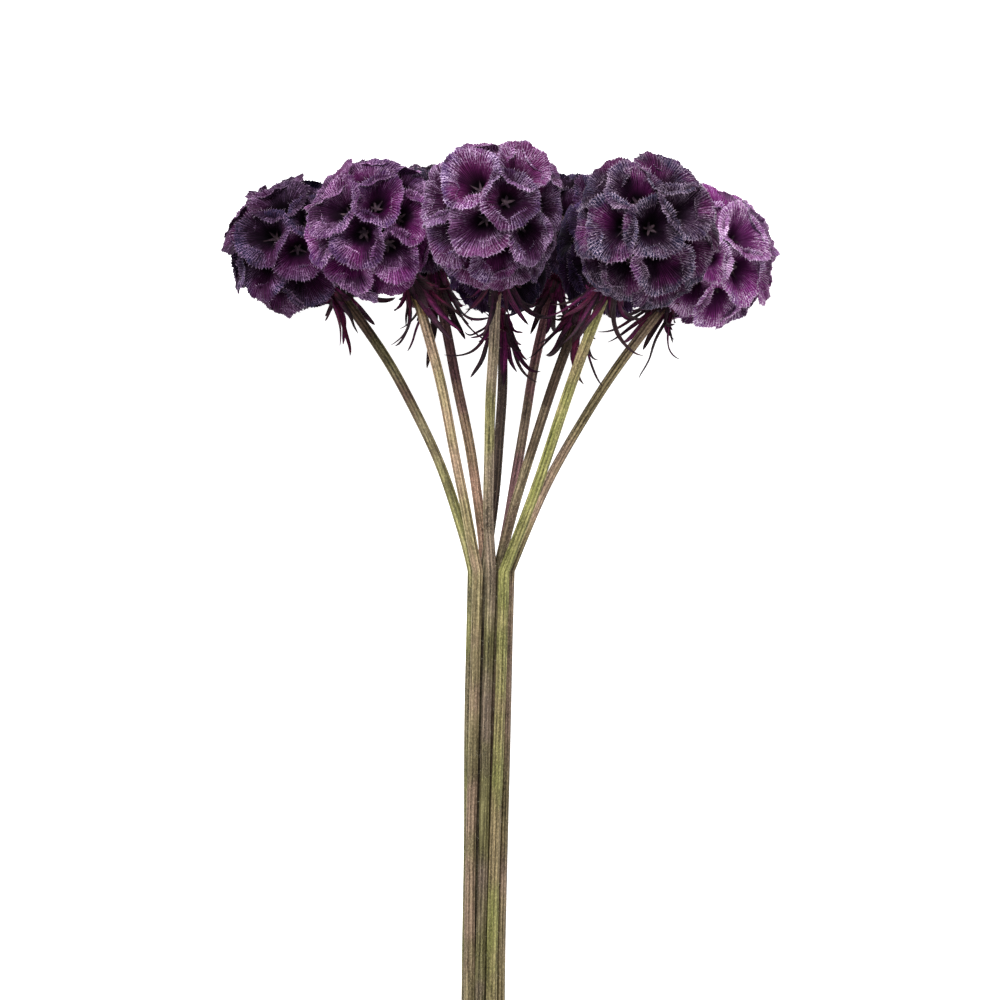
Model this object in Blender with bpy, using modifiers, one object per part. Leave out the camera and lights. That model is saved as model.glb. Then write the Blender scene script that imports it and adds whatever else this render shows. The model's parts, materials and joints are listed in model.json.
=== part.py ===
"""A bunch of nine preserved scabiosa pods, lying down on its lowest heads and its cut stem ends.

Heads point to +Y, the cut ends to -Y, and the surface that it lies on is z = 0. Sizes in the tables are
millimetres and degrees, and every length below them is in metres.
"""
from math import atan2, cos, pi, radians, sin
from random import Random
from typing import NamedTuple

import bmesh
import bpy
from mathutils import Matrix, Vector

MM = 0.001


class Pod(NamedTuple):
    """One head: its centre and radius (mm), the way it points (degrees), its stem's slot in the bundle, how
    far the stem leaves the bundle straight towards the head (1) and not along the bundle (0), and how far it
    bows to the right on its way (mm)."""
    name: str
    x: float
    y: float
    z: float
    radius: float
    lean: float
    rise: float
    column: float
    row: int
    spread: float
    bow: float
    colour: tuple


PODS = [
    Pod("far_left", -52.0, 86.2, 18.1, 19.0, -43, -14, -1.5, 1, 0.45, 0.5, (0.15, 0.06, 0.12)),
    Pod("rear_left", -16.7, 91.6, 16.2, 17.0, -9, -22, -0.5, 0, 0.45, 0.0, (0.20, 0.10, 0.17)),
    Pod("rear_right", 21.4, 88.9, 16.6, 17.5, 19, -20, 0.5, 0, 1.20, -0.5, (0.19, 0.09, 0.16)),
    Pod("far_right", 57.0, 83.0, 18.4, 19.3, 41, -16, 1.5, 1, 0.65, -0.6, (0.22, 0.09, 0.17)),
    Pod("inner", 2.3, 81.9, 40.2, 15.5, 0, 4, -0.5, 1, 0.60, 2.3, (0.12, 0.06, 0.11)),
    Pod("inner_right", 29.9, 82.6, 46.2, 16.0, 24, 8, 0.5, 1, 0.85, 0.0, (0.13, 0.07, 0.12)),
    Pod("left", -30.2, 89.7, 47.2, 19.1, -34, 8, -1.0, 2, 0.70, -1.8, (0.21, 0.08, 0.17)),
    Pod("centre", 1.6, 92.8, 71.2, 20.2, -2, 24, 0.0, 2, 0.45, -2.0, (0.27, 0.16, 0.28)),
    Pod("right", 38.6, 88.0, 77.6, 19.9, 31, 27, 1.0, 2, 1.20, 0.0, (0.13, 0.11, 0.17)),
]

# Clearances between neighbouring pieces, and between two heads that press on each other
GAP = 0.3 * MM
PRESS_GAP = 0.3 * MM

# Heads: a cup's share of the ball, and its levels as shares of the head's radius
CUP_RADIUS = 7.2 * MM
CREASE_LEVEL = 0.84
THROAT_LEVEL = 0.62
CALYX_LEVEL = 0.73
SCALLOP = 0.02
LIFT = 0.02
RIM_SHARE = 0.93
RIM_ROUNDING = 0.6
THROAT_SHARE = 0.40
LONG_EDGE = radians(21)
PRESS_START = 0.55
SPREAD_STEPS = 40
SPREAD_RATE = 0.02
SPREAD_JITTER = 0.25

# The seat of the stem under a head: distances from the head's centre along its axis
SEAT_DEPTH = 11.6 * MM
SEAT_RADIUS = 3.3 * MM
COLLAR_TOP = SEAT_DEPTH + GAP
COLLAR_HEIGHT = 1.5 * MM
COLLAR_RADIUS = 2.4 * MM
STEM_TOP = COLLAR_TOP + COLLAR_HEIGHT + GAP

# Bracts: blades drawn out of the collar's sides
BRACT_COUNT = 8
BRACT_THICKNESS = 0.65 * MM
BRACT_WIDTHS = [1.25 * MM, 2.1 * MM, 1.8 * MM, 0.4 * MM]
BRACT_START = 14.4 * MM
BRACT_START_RADIUS = 2.45 * MM
BRACT_LENGTHS = (13, 25)
BRACT_FLARES = (22, 58)
BRACT_TRIES = 60
BRACT_EASE = 0.6
BRACT_SPACING = 2.8 * MM
CLEAR_OF_FLOOR = 1.6 * MM
CLEAR_OF_HEAD = 1.0 * MM
CLEAR_OF_STEM = 1.6 * MM
CLEAR_OF_OWN_STEM = 0.7 * MM
VALLEY_RADIUS = 5 * MM

# Stems and their bundle
STEM_RADIUS = 1.4 * MM
STEM_SIDES = 8
SLOT_PITCH = 3.2 * MM
LEVEL_END = -238 * MM
PINCH_HEIGHT = 31 * MM
BUNDLE_LEAN = 0.0105
SWAY = radians(18)
BUNDLE_STATIONS = [v * MM for v in (-287, -262, -238, -218, -199, -193, -160, -120, -75, -35)]
FAN_STEPS = 8
PINCH_PULL = 30 * MM
HEAD_PULL = 18 * MM

# The band round the stems
TIE_PLACE = -196 * MM
TIE_WIDTH = 3.2 * MM
TIE_THICKNESS = 1.0 * MM
TIE_STEPS = 28


def smooth_step(t):
    t = min(max(t, 0.0), 1.0)
    return t * t * (3 - 2 * t)


def pod_centre(pod):
    return Vector((pod.x, pod.y, pod.z)) * MM


def pod_axis(pod):
    """The way a head points, from its stem through its middle."""
    lean, rise = radians(pod.lean), radians(pod.rise)
    return Vector((sin(lean) * cos(rise), cos(lean) * cos(rise), sin(rise)))


def pod_turn(pod):
    """Turns a head's own frame, whose +Z is its axis, into the bunch's."""
    return pod_axis(pod).to_track_quat("Z", "Y").to_matrix()


def contacts(pod):
    """Planes that stop a head: a normal and a distance from its centre for each neighbour and the floor."""
    centre = pod_centre(pod)
    radius = pod.radius * MM
    reach = radius * (1 + LIFT + SCALLOP)
    planes = [(Vector((0, 0, -1)), centre.z)]
    for other in PODS:
        if other is pod:
            continue
        way = pod_centre(other) - centre
        share = way.length * pod.radius / (pod.radius + other.radius) - PRESS_GAP / 2
        planes.append((way.normalized(), share))
    return [(normal, share) for normal, share in planes if share < reach]


def pressed(offset, planes, radius):
    """An offset from a head's centre, squeezed flat towards each plane that the head is pressed against."""
    start = radius * PRESS_START
    reach = radius * (1 + LIFT + SCALLOP)
    for normal, share in planes:
        along = offset.dot(normal)
        if along > start:
            offset = offset - normal * (along - start) * (1 - (share - start) / (reach - start))
    return offset


def cup_directions(pod, draw):
    """Even, slightly irregular directions on the unit ball, the last of them where the stem comes in."""
    count = round(4 * (pod.radius * MM / CUP_RADIUS) ** 2)
    turn = pi * (3 - 5 ** 0.5)
    spots = []
    for k in range(count):
        height = 1 - 2 * k / (count - 1)
        flat = max(1 - height * height, 0) ** 0.5
        angle = k * turn + draw.uniform(-SPREAD_JITTER, SPREAD_JITTER)
        spots.append(Vector((flat * cos(angle), flat * sin(angle), height)))
    for _ in range(SPREAD_STEPS):
        pushes = []
        for spot in spots[:-1]:
            push = Vector()
            for other in spots:
                way = spot - other
                if other is not spot:
                    push += way / way.length ** 3
            pushes.append(push)
        for spot, push in zip(spots, pushes):
            spot += push * SPREAD_RATE / count ** 0.5
            spot.normalize()
    return spots


def cup_cells(spots):
    """The ball cut into one cell a direction, as flat faces that meet in threes, in the order of the spots."""
    hull = bmesh.new()
    for spot in spots:
        hull.verts.new(spot)
    bmesh.ops.convex_hull(hull, input=hull.verts[:])
    bmesh.ops.recalc_face_normals(hull, faces=hull.faces[:])
    hull.normal_update()
    cells = bmesh.new()
    corners = {face: cells.verts.new(face.normal) for face in hull.faces}
    for vert in hull.verts:
        across = vert.co.orthogonal()
        up = vert.co.cross(across)
        ring = sorted(vert.link_faces, key=lambda f: atan2(f.normal.dot(up), f.normal.dot(across)))
        cells.faces.new([corners[face] for face in ring])
    hull.free()
    for edge in cells.edges[:]:
        first, last = edge.verts
        if first.co.angle(last.co) > LONG_EDGE:
            middle = bmesh.utils.edge_split(edge, first, 0.5)[1]
            middle.co.normalize()
    return cells


def inset_ring(mesh, face, place):
    """Insets one face and puts each new corner where place(old corner, its number) says."""
    bmesh.ops.inset_individual(mesh, faces=[face], thickness=0.01)
    ring = set(face.verts)
    for number, vert in enumerate(face.verts):
        corner = next(end for edge in vert.link_edges for end in edge.verts if end not in ring)
        vert.co = place(corner.co, number)


def shape_cup(mesh, face, spot, lift):
    """Turns a cell into a flared cup: a wavy rim, a throat below it and the calyx standing in the throat."""
    mean = sum(spot.angle(vert.co) for vert in face.verts) / len(face.verts)

    def rim(corner, number):
        reach = spot.angle(corner)
        rounded = RIM_ROUNDING * mean + (1 - RIM_ROUNDING) * reach
        wave = SCALLOP if number % 2 else -SCALLOP / 2
        return spot.slerp(corner, min(rounded / reach, 1) * RIM_SHARE) * (1 + lift + wave)

    def throat(corner, number):
        way = corner.normalized()
        return spot.slerp(way, THROAT_SHARE / RIM_SHARE) * (THROAT_LEVEL + lift)

    inset_ring(mesh, face, rim)
    inset_ring(mesh, face, throat)
    top = bmesh.ops.poke(mesh, faces=[face])["verts"][0]
    top.co = spot * (CALYX_LEVEL + lift)


def shape_seat(mesh, face, radius):
    """Sinks the cell where the stem comes in to a flat-bottomed seat."""
    def bottom(corner, number):
        away = Vector((corner.x, corner.y, 0)).normalized() * SEAT_RADIUS
        return (away - Vector((0, 0, SEAT_DEPTH))) / radius

    inset_ring(mesh, face, bottom)


def make_pod(pod, number):
    draw = Random(100 + number)
    radius = pod.radius * MM
    spots = cup_directions(pod, draw)
    mesh = cup_cells(spots)
    mesh.faces.ensure_lookup_table()
    cells = mesh.faces[:]
    creases = mesh.verts[:]
    for face, spot in zip(cells[:-1], spots[:-1]):
        shape_cup(mesh, face, spot, draw.uniform(-LIFT, LIFT))
    shape_seat(mesh, cells[-1], radius)
    for vert in creases:
        vert.co *= CREASE_LEVEL
    turn = pod_turn(pod)
    planes = contacts(pod)
    for vert in mesh.verts:
        vert.co = pod_centre(pod) + pressed(turn @ vert.co * radius, planes, radius)
    bmesh.ops.triangulate(mesh, faces=mesh.faces[:])
    return add_mesh("pod_" + pod.name, mesh, paint("pod_" + pod.name, pod.colour, 0.75))


def bundle_point(pod, v):
    """Where a stem runs in the bundle at the length v, measured from the pinch below the heads."""
    fall = smooth_step(1 - v / LEVEL_END)
    rest = STEM_RADIUS * cos(pi / STEM_SIDES)
    sway = SWAY * sin(pi * v / LEVEL_END) if v > LEVEL_END else 0.0
    across = pod.column * SLOT_PITCH
    up = pod.row * SLOT_PITCH * 3 ** 0.5 / 2
    x = BUNDLE_LEAN * v + across * cos(sway) - up * sin(sway)
    z = rest + PINCH_HEIGHT * fall + across * sin(sway) + up * cos(sway)
    return Vector((x, v, z))


def stem_points(pod):
    """A stem's middle line, from its cut end through the bundle and out to its head."""
    points = [bundle_point(pod, v) for v in BUNDLE_STATIONS]
    start = bundle_point(pod, 0.0)
    end = pod_centre(pod) - pod_axis(pod) * STEM_TOP
    straight = (end - start).normalized()
    way = Vector((BUNDLE_LEAN, 1, 0)).lerp(straight, pod.spread).normalized()
    bow = Vector((pod.bow * MM, 0, 0))
    first_pull = start + way * PINCH_PULL + bow
    last_pull = end - pod_axis(pod) * HEAD_PULL + bow
    for k in range(FAN_STEPS + 1):
        t = k / FAN_STEPS
        s = 1 - t
        points.append(start * s ** 3 + first_pull * 3 * s * s * t + last_pull * 3 * s * t * t + end * t ** 3)
    return points


def make_stem(pod):
    name = "stem_" + pod.name
    curve = bpy.data.curves.new(name, "CURVE")
    curve.dimensions = "3D"
    curve.twist_mode = "Z_UP"
    curve.bevel_depth = STEM_RADIUS
    curve.bevel_resolution = 2
    curve.use_fill_caps = True
    points = stem_points(pod)
    spline = curve.splines.new("POLY")
    spline.points.add(len(points) - 1)
    for place, point in zip(spline.points, points):
        place.co = (*point, 1)
        place.tilt = pi / STEM_SIDES
    curve.materials.append(paint(name, (0.25, 0.20, 0.09), 0.7))
    return link(bpy.data.objects.new(name, curve))


def distance_to_line(point, line):
    """The shortest distance from a point to a line of straight stretches."""
    best = 1.0
    for first, last in zip(line, line[1:]):
        way = last - first
        t = min(max((point - first).dot(way) / way.length_squared, 0), 1)
        best = min(best, (point - first - way * t).length)
    return best


def bract_path(pod, angle, flare, length):
    """The middle points of a bract's cross-sections and the ways that its flat side faces."""
    turn = pod_turn(pod)
    centre = pod_centre(pod)
    out = turn @ Vector((cos(angle), sin(angle), 0))
    down = -pod_axis(pod)
    steps = len(BRACT_WIDTHS) - 1
    spot = centre + down * BRACT_START + out * BRACT_START_RADIUS
    path = [(spot, out)]
    for k in range(steps):
        bend = flare * (k + 1) / steps
        spot = spot + (down * cos(bend) + out * sin(bend)) * length / steps
        path.append((spot, out * cos(bend) - down * sin(bend)))
    return path


def bract_is_clear(pod, path, lines, taken):
    """Whether a bract keeps off the floor, every head, every stem and the bracts already there."""
    for (first, _), (last, _) in zip(path, path[1:]):
        for t in (0.25, 0.5, 0.75, 1.0):
            spot = first.lerp(last, t)
            if spot.z < CLEAR_OF_FLOOR:
                return False
            for other, line in zip(PODS, lines):
                own = other is pod
                in_valley = own and (spot - pod_centre(pod)).cross(pod_axis(pod)).length < VALLEY_RADIUS
                head_reach = other.radius * MM * (1 + LIFT + SCALLOP) + CLEAR_OF_HEAD
                if not in_valley and (spot - pod_centre(other)).length < head_reach:
                    return False
                stem_reach = STEM_RADIUS + (CLEAR_OF_OWN_STEM if own else CLEAR_OF_STEM)
                if distance_to_line(spot, line) < stem_reach:
                    return False
            if any((spot - there).length < BRACT_SPACING for there in taken):
                return False
    return True


def choose_bracts(pod, draw, lines, taken):
    """Bends each of a head's bracts clear of all else: the first of its drawn shapes that is clear is kept."""
    chosen = []
    spots = []
    for k in range(BRACT_COUNT):
        angle = 2 * pi * (k + 0.5) / BRACT_COUNT
        for attempt in range(BRACT_TRIES):
            ease = 1 - BRACT_EASE * attempt / BRACT_TRIES
            flare = radians(draw.uniform(*BRACT_FLARES))
            length = draw.uniform(*BRACT_LENGTHS) * ease * MM
            path = bract_path(pod, angle, flare, length)
            if bract_is_clear(pod, path, lines, taken):
                chosen.append(path)
                spots += [first.lerp(last, t) for (first, _), (last, _) in zip(path[1:], path[2:])
                          for t in (0, 0.5, 1)]
                break
    taken += spots
    return chosen


def make_bracts(pod, number, lines, taken):
    """The collar on the stem's top, with each of its sides drawn out into a bract."""
    name = "bracts_" + pod.name
    axis = pod_axis(pod)
    middle = pod_centre(pod) - axis * (COLLAR_TOP + COLLAR_HEIGHT / 2)
    mesh = bmesh.new()
    bmesh.ops.create_cone(mesh, cap_ends=True, segments=BRACT_COUNT, radius1=COLLAR_RADIUS,
                          radius2=COLLAR_RADIUS, depth=COLLAR_HEIGHT,
                          matrix=Matrix.Translation(middle) @ pod_turn(pod).to_4x4())
    mesh.normal_update()
    sides = [face for face in mesh.faces if abs(face.normal.dot(axis)) < 0.5]
    for path in choose_bracts(pod, Random(300 + number), lines, taken):
        out = path[0][1]
        across = out.cross(axis).normalized()
        side = max(sides, key=lambda face: face.normal.dot(out))
        before, before_facing = side.calc_center_median(), axis
        for width, (spot, facing) in zip(BRACT_WIDTHS, path):
            def corner_place(corner, number):
                right = 1 if (corner - before).dot(across) > 0 else -1
                outer = 1 if (corner - before).dot(before_facing) > 0 else -1
                return spot + across * right * width / 2 + facing * outer * BRACT_THICKNESS / 2

            inset_ring(mesh, side, corner_place)
            before, before_facing = spot, facing
    bmesh.ops.triangulate(mesh, faces=mesh.faces[:])
    colour = [0.6 * value + 0.02 for value in pod.colour]
    return add_mesh(name, mesh, paint(name, colour, 0.8))


def make_tie():
    """A flat rubber band that fits round the outline of the bundle."""
    mesh = bmesh.new()
    bmesh.ops.create_cone(mesh, cap_ends=False, segments=TIE_STEPS, radius1=1, radius2=1, depth=TIE_WIDTH,
                          matrix=Matrix.Rotation(pi / 2, 4, "X"))
    for vert in mesh.verts:
        v = TIE_PLACE + vert.co.y
        slots = [bundle_point(pod, v) for pod in PODS]
        way = Vector((vert.co.x, 0, vert.co.z))
        vert.co = max(slots, key=way.dot) + way * (STEM_RADIUS + GAP)
    bmesh.ops.recalc_face_normals(mesh, faces=mesh.faces[:])
    tie = add_mesh("tie", mesh, paint("tie", (0.55, 0.42, 0.25), 0.6))
    wall = tie.modifiers.new("thickness", "SOLIDIFY")
    wall.thickness = TIE_THICKNESS
    wall.offset = 1.0
    return tie


def paint(name, colour, roughness):
    material = bpy.data.materials.new(name)
    material.use_nodes = True
    shader = material.node_tree.nodes["Principled BSDF"]
    shader.inputs["Base Color"].default_value = (*colour, 1)
    shader.inputs["Roughness"].default_value = roughness
    shader.inputs["Metallic"].default_value = 0.0
    return material


def link(obj):
    """Puts an object in the bunch's collection, hanging from its empty."""
    BUNCH.objects.link(obj)
    obj.parent = ROOT
    return obj


def add_mesh(name, mesh, material):
    data = bpy.data.meshes.new(name)
    mesh.to_mesh(data)
    mesh.free()
    data.materials.append(material)
    data.shade_smooth()
    data.set_sharp_from_angle(angle=radians(35))
    return link(bpy.data.objects.new(name, data))


def set_on_origin():
    """Moves the bunch so that the origin is under the middle of its box."""
    bpy.context.view_layer.update()
    view = bpy.context.evaluated_depsgraph_get()
    corners = []
    for obj in BUNCH.objects:
        if obj is not ROOT:
            seen = obj.evaluated_get(view)
            data = seen.to_mesh()
            corners += [obj.matrix_world @ vert.co for vert in data.vertices]
            seen.to_mesh_clear()
    for axis in (0, 1):
        values = [corner[axis] for corner in corners]
        ROOT.location[axis] = -(min(values) + max(values)) / 2


for old_object in list(bpy.data.objects):
    bpy.data.objects.remove(old_object, do_unlink=True)
BUNCH = bpy.data.collections.new("scabiosa_pod_bunch")
bpy.context.scene.collection.children.link(BUNCH)
ROOT = bpy.data.objects.new("bunch", None)
BUNCH.objects.link(ROOT)

stem_lines = [stem_points(pod) for pod in PODS]
bract_spots = []
for pod_number, one_pod in enumerate(PODS):
    make_pod(one_pod, pod_number)
    make_bracts(one_pod, pod_number, stem_lines, bract_spots)
    make_stem(one_pod)
make_tie()
set_on_origin()
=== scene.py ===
"""The looks of a bunch of preserved scabiosa pods: papery cups, bracts, hairy stems and their band."""
import json
from math import cos, pi, radians, sin
from random import Random
from typing import NamedTuple

import bmesh
import bpy
import numpy as np
from mathutils import Matrix, Vector


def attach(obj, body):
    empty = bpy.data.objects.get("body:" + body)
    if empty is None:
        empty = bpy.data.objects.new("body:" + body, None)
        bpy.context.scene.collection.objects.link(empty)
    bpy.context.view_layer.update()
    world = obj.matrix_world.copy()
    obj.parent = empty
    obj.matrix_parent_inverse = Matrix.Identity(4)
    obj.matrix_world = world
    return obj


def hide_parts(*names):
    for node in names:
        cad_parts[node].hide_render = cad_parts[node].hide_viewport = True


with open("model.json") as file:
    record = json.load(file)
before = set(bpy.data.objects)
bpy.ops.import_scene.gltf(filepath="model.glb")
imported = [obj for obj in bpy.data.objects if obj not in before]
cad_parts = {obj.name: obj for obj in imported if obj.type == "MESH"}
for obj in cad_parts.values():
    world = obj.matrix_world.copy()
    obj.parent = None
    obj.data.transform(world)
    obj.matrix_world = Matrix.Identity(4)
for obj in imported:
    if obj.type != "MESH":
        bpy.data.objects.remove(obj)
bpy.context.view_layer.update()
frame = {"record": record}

MM = 0.001


class Pod(NamedTuple):
    """One head: centre and radius (mm), pointing (degrees), its stem's slot, spread and bow, its colours."""
    name: str
    x: float
    y: float
    z: float
    radius: float
    lean: float
    rise: float
    column: float
    row: int
    spread: float
    bow: float
    dye: str
    skin: str


PODS = [
    Pod("far_left", -52.0, 86.2, 18.1, 19.0, -43, -14, -1.5, 1, 0.45, 0.5, "navy_and_shade", "olive"),
    Pod("rear_left", -16.7, 91.6, 16.2, 17.0, -9, -22, -0.5, 0, 0.45, 0.0, "slate", "umber"),
    Pod("rear_right", 21.4, 88.9, 16.6, 17.5, 19, -20, 0.5, 0, 1.20, -0.5, "navy_and_shade", "mauve"),
    Pod("far_right", 57.0, 83.0, 18.4, 19.3, 41, -16, 1.5, 1, 0.65, -0.6, "rose", "tan"),
    Pod("inner", 2.3, 81.9, 40.2, 15.5, 0, 4, -0.5, 1, 0.60, 2.3, "deep_shade", "dark"),
    Pod("inner_right", 29.9, 82.6, 46.2, 16.0, 24, 8, 0.5, 1, 0.85, 0.0, "deep_shade", "drab"),
    Pod("left", -30.2, 89.7, 47.2, 19.1, -34, 8, -1.0, 2, 0.70, -1.8, "plum", "straw"),
    Pod("centre", 1.6, 92.8, 71.2, 20.2, -2, 24, 0.0, 2, 0.45, -2.0, "lilac", "green"),
    Pod("right", 38.6, 88.0, 77.6, 19.9, 31, 27, 1.0, 2, 1.20, 0.0, "slate", "lime"),
]

# The frame's own sizes, repeated: pressing, the cups' places, the seat, the bracts, the stems and the band
GAP = 0.3 * MM
PRESS_GAP = 0.3 * MM
PRESS_START = 0.55
CUP_RADIUS = 7.2 * MM
LIFT = 0.02
SCALLOP = 0.02
SPREAD_STEPS = 40
SPREAD_RATE = 0.02
SPREAD_JITTER = 0.25
SEAT_DEPTH = 11.6 * MM
COLLAR_TOP = SEAT_DEPTH + GAP
COLLAR_HEIGHT = 1.5 * MM
COLLAR_RADIUS = 2.4 * MM
STEM_TOP = COLLAR_TOP + COLLAR_HEIGHT + GAP
BRACT_COUNT = 8
BRACT_SECTIONS = 3
BRACT_START = 14.4 * MM
BRACT_START_RADIUS = 2.45 * MM
BRACT_LENGTHS = (13, 25)
BRACT_FLARES = (22, 58)
BRACT_TRIES = 60
BRACT_EASE = 0.6
BRACT_SPACING = 2.8 * MM
BRACT_CHECKS = (0.25, 0.5, 0.75, 1.0)
CLEAR_OF_FLOOR = 1.6 * MM
CLEAR_OF_HEAD = 1.0 * MM
CLEAR_OF_STEM = 1.6 * MM
CLEAR_OF_OWN_STEM = 0.7 * MM
VALLEY_RADIUS = 5 * MM
STEM_RADIUS = 1.4 * MM
STEM_SIDES = 8
SLOT_PITCH = 3.2 * MM
CUT_END = -287 * MM
LEVEL_START = -262 * MM
LEVEL_END = -238 * MM
PINCH_HEIGHT = 31 * MM
BUNDLE_LEAN = 0.0105
SWAY = radians(18)
BUNDLE_STATIONS = [v * MM for v in (-287, -262, -238, -218, -199, -193, -160, -120, -75, -35)]
FAN_STEPS = 8
PINCH_PULL = 30 * MM
HEAD_PULL = 18 * MM
TIE_PLACE = -196 * MM
TIE_WIDTH = 3.2 * MM

# Cups: rows of a turned shell, each a share of the rim's reach, a level as a share of the head's radius,
# how far the ribs stand out (mm) and how far along the surface it lies, from 0 in the throat to 1 on the rim
CUP_RIBS = 62
STEPS_A_RIB = 2
CUP_STEPS = CUP_RIBS * STEPS_A_RIB
CUP_ROWS = [
    (0.00, 0.450, 0.00, 0.00), (0.16, 0.460, 0.00, 0.10), (0.26, 0.530, 0.03, 0.20),
    (0.38, 0.625, 0.06, 0.34), (0.50, 0.715, 0.10, 0.48), (0.62, 0.795, 0.13, 0.61),
    (0.74, 0.865, 0.15, 0.74), (0.86, 0.925, 0.15, 0.86), (0.95, 0.955, 0.14, 0.95),
    (1.00, 0.958, 0.12, 1.00), (0.95, 0.938, 0.12, 1.10), (0.74, 0.825, 0.10, 1.30),
    (0.48, 0.660, 0.04, 1.60), (0.00, 0.390, 0.00, 2.00),
]
RIM_ROW = 9
TOOTH = 0.18 * MM
TOOTH_SPREAD = 0.7
RIB_SPREAD = 0.7
RIB_JITTER = 0.35
RIM_SHARPNESS = 3.6
RIM_CAP = radians(29)
RIM_SHARE = 1.41
OVERLAP_SHARE = 0.20
OVERLAP_HEIGHT = 1.2 * MM
RUFFLES = ((2, 0.20 * MM), (3, 0.25 * MM), (5, 0.22 * MM), (8, 0.18 * MM), (13, 0.14 * MM), (19, 0.10 * MM))
WANDERS = ((2, 0.05), (3, 0.05), (5, 0.03), (9, 0.02), (17, 0.015))
FACE_DROP = 2.0 * MM
FACE_RISE = 0.1 * MM
RUFFLE_ROOM = 1.6 * MM
PROUD = OVERLAP_HEIGHT + RUFFLE_ROOM
RANK_SPREAD = 0.35
FAN_PULL = 0.35
FAN_SEEDS = (0, 40)

# Bristles (mm), and how far each points out along the rim, up and sideways
BRISTLE_LENGTHS = (0.3, 0.9)
BRISTLE_WAYS = ((0.6, 1.0), (-0.3, 0.9), (-0.5, 0.5))
BRISTLE_RADIUS = 0.045 * MM
BRISTLE_SINK = 0.1 * MM

# Calyx stars: sections of one arm, as reach, width and height (mm), drawn out of a small stalk
STAR_LEVEL = 0.53
STAR_STALK = (0.5, 1.0)
STAR_ARM = [(0.9, 0.90, 0.40), (1.8, 0.66, 1.05), (2.6, 0.24, 1.9), (4.0, 0.06, 3.6)]
STAR_THICKNESS = 0.26
STAR_SIZES = (0.7, 1.0)

# The core of a head and its neck, coloured near-black as painted shade between the cups
CORE_LEVEL = 0.44
CORE_DETAIL = 3
CORE_NECK = radians(24)
NECK_RADIUS = 2.4 * MM
NECK_SINK = 0.5 * MM

# Bracts: corners across and along, widths (mm) at shares of the length, the fold at the midrib, how a blade
# hooks, sways, turns (degrees) and ripples, and the inner rows as their turn and their share of the length
LEAF_ACROSS = 4
LEAF_ALONG = 18
LEAF_STEPS = 60
LEAF_STATIONS = (0, 0.12, 0.35, 0.6, 0.84, 0.95, 1.0)
LEAF_WIDTHS = (1.0, 1.3, 1.8, 1.8, 1.25, 0.75, 0.15)
LEAF_WIDTH_SPREAD = (0.85, 1.15)
LEAF_THICKNESS = 0.28 * MM
LEAF_THINNING = 0.75
LEAF_FOLD = 0.45
LEAF_HOOK = 1.1
LEAF_HOOK_SHARES = (-0.4, 1.0)
LEAF_SWAY = 0.20
LEAF_TURN = 55
LEAF_RIPPLE = 0.35 * MM
LEAF_RIPPLES = (7, 12)
LEAF_REST = 0.2 * MM
LEAF_GRAIN = 2 * MM
LEAF_GRAIN_STARTS = (0, 0.012)
LEAF_SHADES = (-0.5, 0.3)
SHORT_ROWS = ((1.0, (0.35, 0.7)), (0.5, (0.25, 0.5)))
SHORT_FLARES = (0.8, 1.3)

# The collar that the bracts grow from
COLLAR_DEPTH = 3.4 * MM
COLLAR_CORNERS = 28
COLLAR_FOOT = STEM_RADIUS * 0.95
COLLAR_LIP = COLLAR_RADIUS + 0.35 * MM
COLLAR_ROUNDING = 0.5 * MM

# Stems: stations along the bundle and the fan, corners round, ribs, taper, swells and twist (radians a
# metre), long and short bends, the sunk cut end, how far the top colour reaches, and the hairs (mm)
STEM_BUNDLE_STEPS = 48
STEM_FAN_STEPS = 40
STEM_CORNERS = 32
STEM_RIBS = 8
STEM_FINE_RIBS = 13
STEM_RIB = 0.055
STEM_TAPER = 0.10
STEM_SWELL = 0.02
STEM_SWELLS = 120
STEM_TWIST = (-6, 6)
STEM_SHARES = (0.86, 0.97)
STEM_WANDER = 0.28 * MM
STEM_BENDS = ((0.65, (2, 3)), (0.35, (4, 7)))
STEM_INSETS = (0.12, 0.25)
STEM_SUNK = 0.3 * MM
STEM_TOP_REACH = 0.11
TOP_SHARES = (1.2, 0.5)
STEM_HAIRS = 320
HAIR_LENGTHS = (0.5, 1.1)
HAIR_RADIUS = 0.03 * MM
HAIR_LEANS = (-0.5, 0.7)
HAIR_STRAYS = (-1.5, 1.5)
HAIR_ROOT = 0.97

# The band: strands side by side, their size, and how far each drifts along the bundle (mm)
BAND_STRANDS = 4
BAND_STEPS = 120
STRAND_CORNERS = 10
STRAND_WIDTH = 0.85 * MM
STRAND_THICKNESS = 0.8 * MM
STRAND_DRIFT = 0.25
STRAND_TURN = 2.1
RING_RADIUS = 2

# Patterns: how fine they are on the fan of a cup's ribs, over the whole head, and along a stem or a bract
FAN_STREAKS, FAN_DASHES, FAN_SPECKS = 16, 26, 52
HEAD_PATCHES, HEAD_SPREAD, HEAD_FLUSHES, HEAD_HIGHLIGHT_PATCHES = 130, 85, 70, 240
SKIN_STREAKS, SKIN_LINES, SKIN_SPECKS = 1150, 2600, 2900
SKIN_PATCHES, SKIN_ZONES = 60, 40
CUP_BUMP = 0.12 * MM
STEM_BUMP = 0.10 * MM
LEAF_BUMP = 0.08 * MM

# The stage: light places (m), sizes (m) and powers (W), all aimed at the heads
FLOOR_SIZE = 3
SKY_STRENGTH = 0.62
LIGHTS = [("key", (-0.35, 1.2, 1.3), 0.6, 38), ("fill", (0.6, -0.3, 1.6), 1.2, 6)]
FLOOR_GLOW = 0.75
FLOOR_PAINT = (0.93, 0.93, 0.93, 1)
WHITE = (1, 1, 1, 1)
LIGHT_AIM = (0, 0.15, 0.04)
CAMERA_PLACE = (0.00234, 0.01872, 2.227)
CAMERA_LENS = 300
CAMERA_SENSOR = 36

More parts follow.
